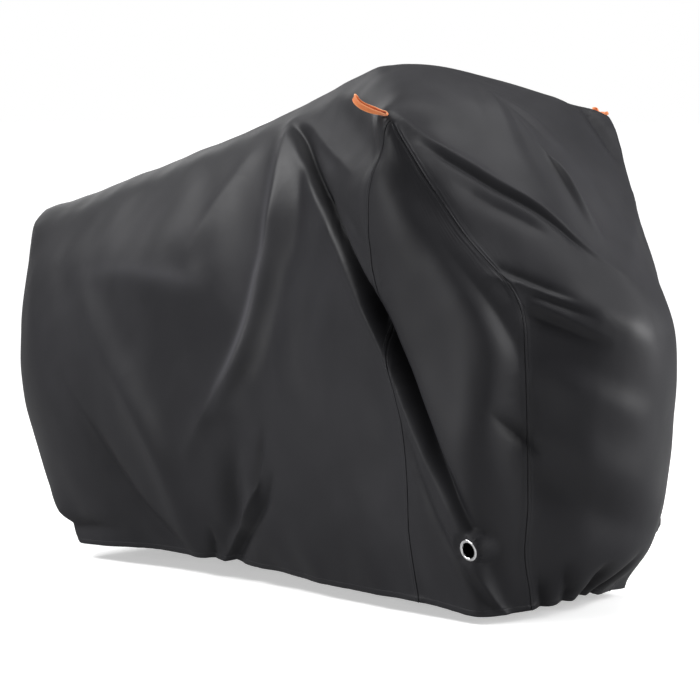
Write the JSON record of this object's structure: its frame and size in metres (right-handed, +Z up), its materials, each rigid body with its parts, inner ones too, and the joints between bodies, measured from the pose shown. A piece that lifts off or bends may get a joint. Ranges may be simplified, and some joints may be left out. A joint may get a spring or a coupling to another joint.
{
  "type": "bicycle cover",
  "caption": "Hollow fitted bicycle cover of coated cloth, draped to a peak over the handlebars, with side gussets, lock eyelets and hang loops.",
  "frame": {"origin": "under the peak of the top, where the bicycles' highest point holds the cover up", "axes": "+X to the front wheel, +Y to the rider's left, +Z up"},
  "size_m": [1.9047, 0.7973, 1.1436],
  "materials": {
    "cloth": "coated polyester, charcoal, soft sheen",
    "gusset_cloth": "coated polyester, charcoal, soft sheen",
    "eyelet_metal": "bright plated metal",
    "webbing": "orange woven tape"
  },
  "bodies": {
    "root": {"cover_body": "cloth", "gusset_right": "gusset_cloth", "gusset_left": "gusset_cloth", "eyelet_right": "eyelet_metal", "eyelet_left": "eyelet_metal", "loop_right": "webbing", "loop_left": "webbing"}
  },
  "joints": []
}
